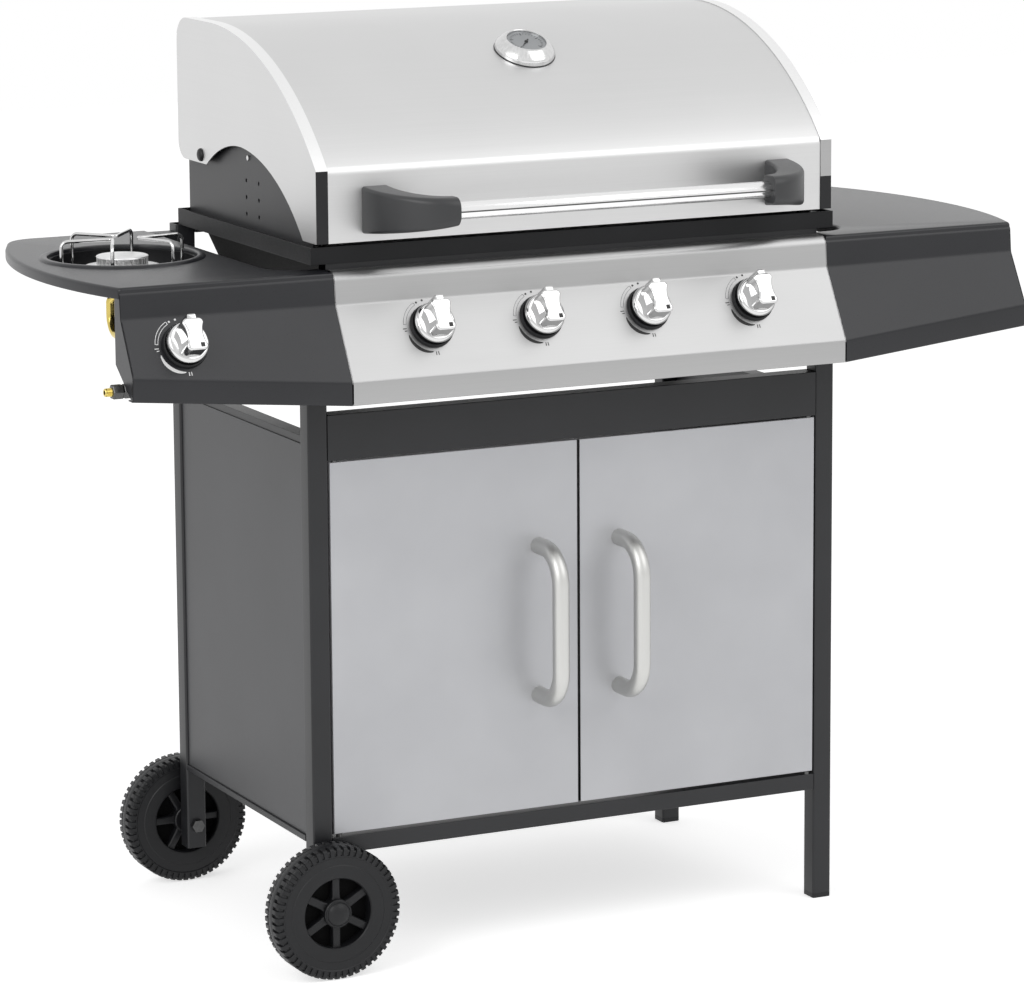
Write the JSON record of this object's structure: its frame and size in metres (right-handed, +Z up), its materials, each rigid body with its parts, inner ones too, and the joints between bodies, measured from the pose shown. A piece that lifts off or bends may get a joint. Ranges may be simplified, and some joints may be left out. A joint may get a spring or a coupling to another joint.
{
  "type": "gas barbecue grill",
  "caption": "Gas barbecue grill on a wheeled cart with a hinged curved lid, control knobs, side tables, a side burner and a cabinet with doors.",
  "frame": {"origin": "on the floor, under the middle of the whole grill's outline", "axes": "+X to the right as seen by the user, +Y from the front to the back, +Z up"},
  "size_m": [1.2364, 0.586, 1.0972],
  "materials": {
    "frame_paint": "satin powder coat",
    "panel_paint": "satin powder coat",
    "table_paint": "fine textured powder coat",
    "door_paint": "satin silver",
    "stainless": "brushed",
    "lid_end_steel": "satin",
    "pull_steel": "brushed",
    "bright_chrome": "polished",
    "enamel": "semi-matt enamel",
    "grate_iron": "matt",
    "inner_steel": "plain",
    "fastener_steel": "zinc plated",
    "burner_alloy": "cast and turned",
    "brass": "plain",
    "black_plastic": "moulded",
    "dial_face": "gloss"
  },
  "bodies": {
    "cart": {"legs": "frame_paint", "front_lower_rail": "frame_paint", "front_valance": "frame_paint", "back_rails": "frame_paint", "side_rails": "frame_paint", "firebox_rails": "frame_paint", "table_brackets": "frame_paint", "bottom_shelf": "frame_paint", "side_panels": "panel_paint", "left_table": "table_paint", "right_table": "table_paint", "left_fascia": "table_paint", "right_fascia": "table_paint", "control_panel": "stainless", "pan_support": "bright_chrome", "warming_rack": "bright_chrome", "firebox": "enamel", "firebox_side_walls": "enamel", "firebox_back_wall": "enamel", "side_burner_bowl": "enamel", "cooking_grates": "grate_iron", "heat_tents": "inner_steel", "burners": "inner_steel", "drip_tray_runners": "inner_steel", "wheel_bolts": "fastener_steel", "door_hinge_pins": "fastener_steel", "lid_hinge_pins": "fastener_steel", "gas_manifold": "fastener_steel", "valve_bodies": "fastener_steel", "side_burner_head": "burner_alloy", "side_burner_pipe": "brass", "gas_inlet": "brass", "foot_caps": "black_plastic", "knob_bezels": "black_plastic"},
    "lid": {"lid_shell": "stainless", "lid_ends": "lid_end_steel", "lid_front_strips": "black_plastic", "lid_handle_bar": "bright_chrome", "lid_handle_brackets": "black_plastic", "thermometer": "bright_chrome", "thermometer_dial": "dial_face"},
    "left_door": {"left_door": "door_paint", "left_door_pull": "pull_steel"},
    "right_door": {"right_door": "door_paint", "right_door_pull": "pull_steel"},
    "front_wheel": {"front_wheel": "black_plastic", "front_hub_cap": "black_plastic"},
    "back_wheel": {"back_wheel": "black_plastic", "back_hub_cap": "black_plastic"},
    "drip_tray": {"drip_tray": "inner_steel"},
    "valve_stem_side": {"valve_stem_side": "fastener_steel"},
    "knob_side": {"knob_side": "bright_chrome"},
    "valve_stem_1": {"valve_stem_1": "fastener_steel"},
    "knob_1": {"knob_1": "bright_chrome"},
    "valve_stem_2": {"valve_stem_2": "fastener_steel"},
    "knob_2": {"knob_2": "bright_chrome"},
    "valve_stem_3": {"valve_stem_3": "fastener_steel"},
    "knob_3": {"knob_3": "bright_chrome"},
    "valve_stem_4": {"valve_stem_4": "fastener_steel"},
    "knob_4": {"knob_4": "bright_chrome"}
  },
  "joints": [
    {"name": "lid_hinge", "type": "hinge", "parent": "cart", "child": "lid", "pos_m": [0, 0.159, 0.934], "axis": [-1, 0, 0], "range_deg": [0, 78]},
    {"name": "left_door_hinge", "type": "hinge", "parent": "cart", "child": "left_door", "pos_m": [-0.316, -0.1775, 0.3865], "axis": [0, 0, -1], "range_deg": [0, 105]},
    {"name": "right_door_hinge", "type": "hinge", "parent": "cart", "child": "right_door", "pos_m": [0.316, -0.1775, 0.3865], "axis": [0, 0, 1], "range_deg": [0, 105]},
    {"name": "front_wheel_spin", "type": "hinge", "parent": "cart", "child": "front_wheel", "pos_m": [-0.3375, -0.205, 0.08], "axis": [0, 1, 0], "continuous": true},
    {"name": "back_wheel_spin", "type": "hinge", "parent": "cart", "child": "back_wheel", "pos_m": [-0.3375, 0.267, 0.08], "axis": [0, 1, 0], "continuous": true},
    {"name": "drip_tray_slide", "type": "slide", "parent": "cart", "child": "drip_tray", "axis": [0, 1, 0], "range_m": [0, 0.2]},
    {"name": "knob_push_side", "type": "slide", "parent": "cart", "child": "valve_stem_side", "axis": [0, 0.8702, -0.4927], "range_m": [0, 0.003], "stiffness_N_per_m": 2000, "springref_m": -0.003},
    {"name": "knob_turn_side", "type": "hinge", "parent": "valve_stem_side", "child": "knob_side", "pos_m": [-0.518, -0.224, 0.76698], "axis": [0, -0.8702, 0.4927], "range_deg": [0, 180]},
    {"name": "knob_push_1", "type": "slide", "parent": "cart", "child": "valve_stem_1", "axis": [0, 0.8702, -0.4927], "range_m": [0, 0.003], "stiffness_N_per_m": 2000, "springref_m": -0.003},
    {"name": "knob_turn_1", "type": "hinge", "parent": "valve_stem_1", "child": "knob_1", "pos_m": [-0.2115, -0.224, 0.76698], "axis": [0, -0.8702, 0.4927], "range_deg": [0, 180]},
    {"name": "knob_push_2", "type": "slide", "parent": "cart", "child": "valve_stem_2", "axis": [0, 0.8702, -0.4927], "range_m": [0, 0.003], "stiffness_N_per_m": 2000, "springref_m": -0.003},
    {"name": "knob_turn_2", "type": "hinge", "parent": "valve_stem_2", "child": "knob_2", "pos_m": [-0.0705, -0.224, 0.76698], "axis": [0, -0.8702, 0.4927], "range_deg": [0, 180]},
    {"name": "knob_push_3", "type": "slide", "parent": "cart", "child": "valve_stem_3", "axis": [0, 0.8702, -0.4927], "range_m": [0, 0.003], "stiffness_N_per_m": 2000, "springref_m": -0.003},
    {"name": "knob_turn_3", "type": "hinge", "parent": "valve_stem_3", "child": "knob_3", "pos_m": [0.0705, -0.224, 0.76698], "axis": [0, -0.8702, 0.4927], "range_deg": [0, 180]},
    {"name": "knob_push_4", "type": "slide", "parent": "cart", "child": "valve_stem_4", "axis": [0, 0.8702, -0.4927], "range_m": [0, 0.003], "stiffness_N_per_m": 2000, "springref_m": -0.003},
    {"name": "knob_turn_4", "type": "hinge", "parent": "valve_stem_4", "child": "knob_4", "pos_m": [0.2115, -0.224, 0.76698], "axis": [0, -0.8702, 0.4927], "range_deg": [0, 180]}
  ]
}
